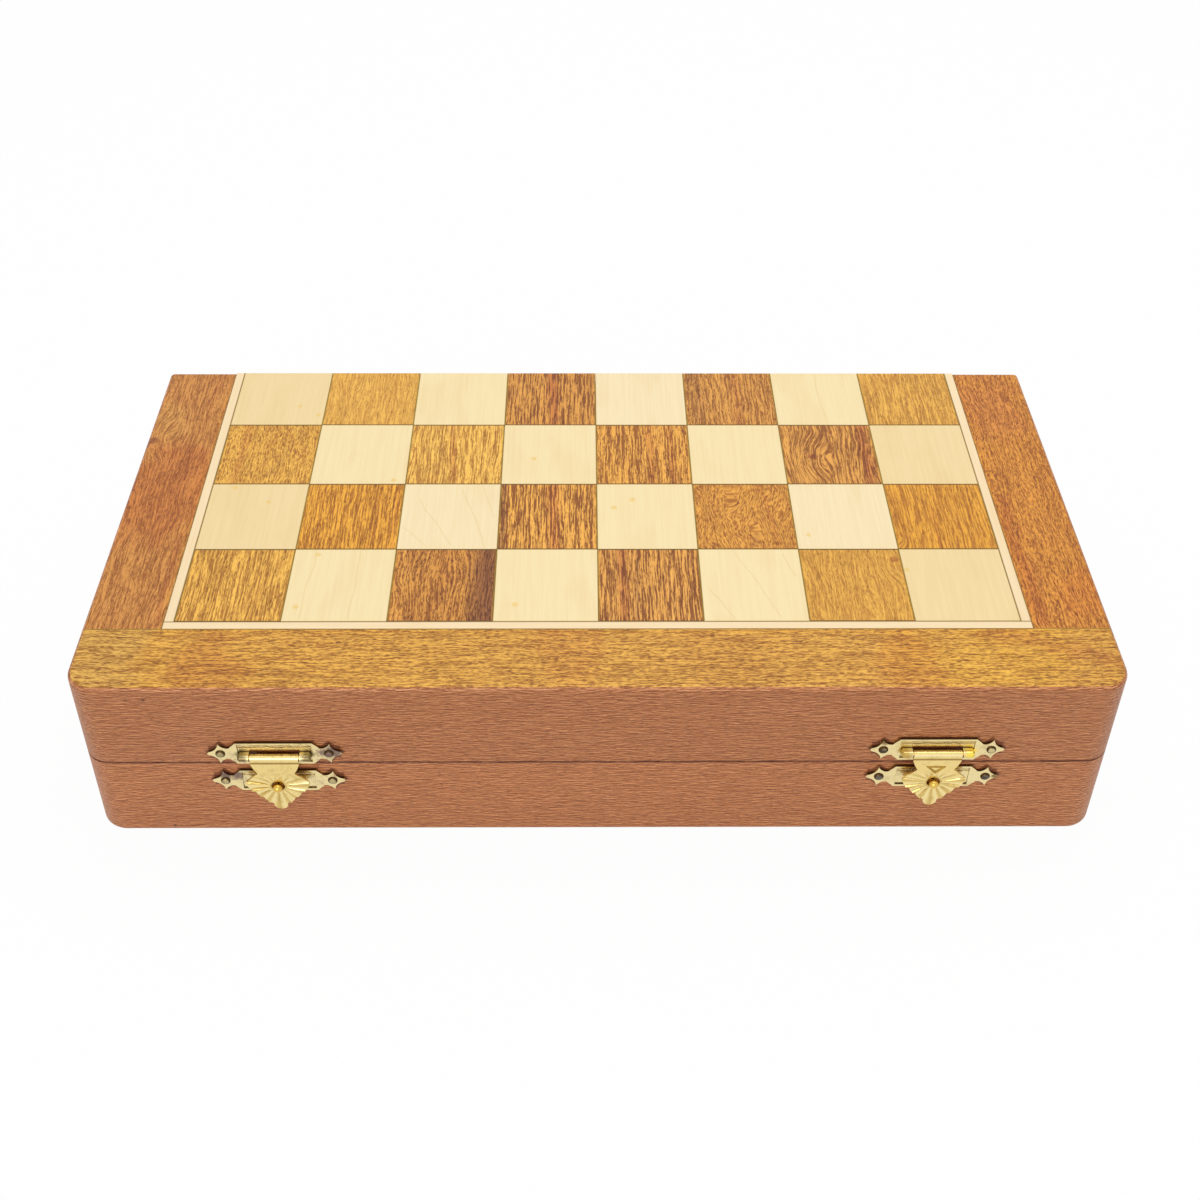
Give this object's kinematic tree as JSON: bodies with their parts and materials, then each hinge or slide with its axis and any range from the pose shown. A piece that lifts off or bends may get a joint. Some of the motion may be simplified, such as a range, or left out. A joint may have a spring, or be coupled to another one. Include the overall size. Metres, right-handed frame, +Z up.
{
  "type": "folding chess box",
  "caption": "Wooden box of two hinged trays that unfolds flat into a chessboard, with slotted foam beds for the pieces inside and brass hasps on the front.",
  "frame": {"origin": "middle of the closed wooden body's footprint, on the underside; hinges and hasps stand out past the body at the back and front", "axes": "+X along the box towards the right-hand hasp, -Y out of the front face with the hasps, +Y out of the back edge with the hinges, +Z up out of the lid's playing face"},
  "size_m": [0.3056, 0.159, 0.063],
  "materials": {
    "front_border_wood": "golden brown hardwood, satin lacquer",
    "left_border_wood": "reddish brown hardwood, satin lacquer",
    "right_border_wood": "reddish orange hardwood, satin lacquer",
    "back_rail_wood": "brown hardwood, satin lacquer",
    "dark_wood": "golden to dark brown hardwood, satin lacquer",
    "light_wood": "pale cream maple, satin lacquer",
    "plywood": "bare plywood",
    "felt": "green wool felt",
    "velvet_foam": "green velvet over foam",
    "hinge_brass": "satin",
    "plate_brass": "pale satin",
    "hasp_brass": "polished",
    "stud_brass": "polished"
  },
  "bodies": {
    "base": {"base_front_rail": "front_border_wood", "base_left_rail": "left_border_wood", "base_right_rail": "right_border_wood", "base_back_rail": "back_rail_wood", "base_ground_panel": "plywood", "base_front_stringing": "light_wood", "base_left_stringing": "light_wood", "base_right_stringing": "light_wood", "base_felt": "felt", "base_slotted_bed": "velvet_foam", "base_dark_squares": "dark_wood", "base_light_squares": "light_wood", "left_hinge_base_leaf": "hinge_brass", "left_hinge_pin": "hinge_brass", "left_latch_catch_plate": "plate_brass", "left_latch_stud": "stud_brass", "right_hinge_base_leaf": "hinge_brass", "right_hinge_pin": "hinge_brass", "right_latch_catch_plate": "plate_brass", "right_latch_stud": "stud_brass"},
    "lid": {"lid_front_rail": "front_border_wood", "lid_left_rail": "left_border_wood", "lid_right_rail": "right_border_wood", "lid_back_rail": "back_rail_wood", "lid_ground_panel": "plywood", "lid_front_stringing": "light_wood", "lid_left_stringing": "light_wood", "lid_right_stringing": "light_wood", "lid_felt": "felt", "lid_slotted_bed": "velvet_foam", "lid_dark_squares": "dark_wood", "lid_light_squares": "light_wood", "left_hinge_lid_leaf": "hinge_brass", "left_latch_lid_plate": "plate_brass", "left_latch_rod": "stud_brass", "right_hinge_lid_leaf": "hinge_brass", "right_latch_lid_plate": "plate_brass", "right_latch_rod": "stud_brass"},
    "left_hasp": {"left_latch_hasp": "hasp_brass"},
    "right_hasp": {"right_latch_hasp": "hasp_brass"}
  },
  "joints": [
    {"name": "lid_hinge", "type": "hinge", "parent": "base", "child": "lid", "pos_m": [0, 0.07618, 0.0315], "axis": [-1, 0, 0], "range_deg": [0, 180]},
    {"name": "left_hasp_hinge", "type": "hinge", "parent": "lid", "child": "left_hasp", "pos_m": [-0.095, -0.07762, 0.03575], "axis": [-1, 0, 0], "range_deg": [0, 150]},
    {"name": "right_hasp_hinge", "type": "hinge", "parent": "lid", "child": "right_hasp", "pos_m": [0.0995, -0.07762, 0.03705], "axis": [-1, 0, 0], "range_deg": [0, 150]}
  ]
}
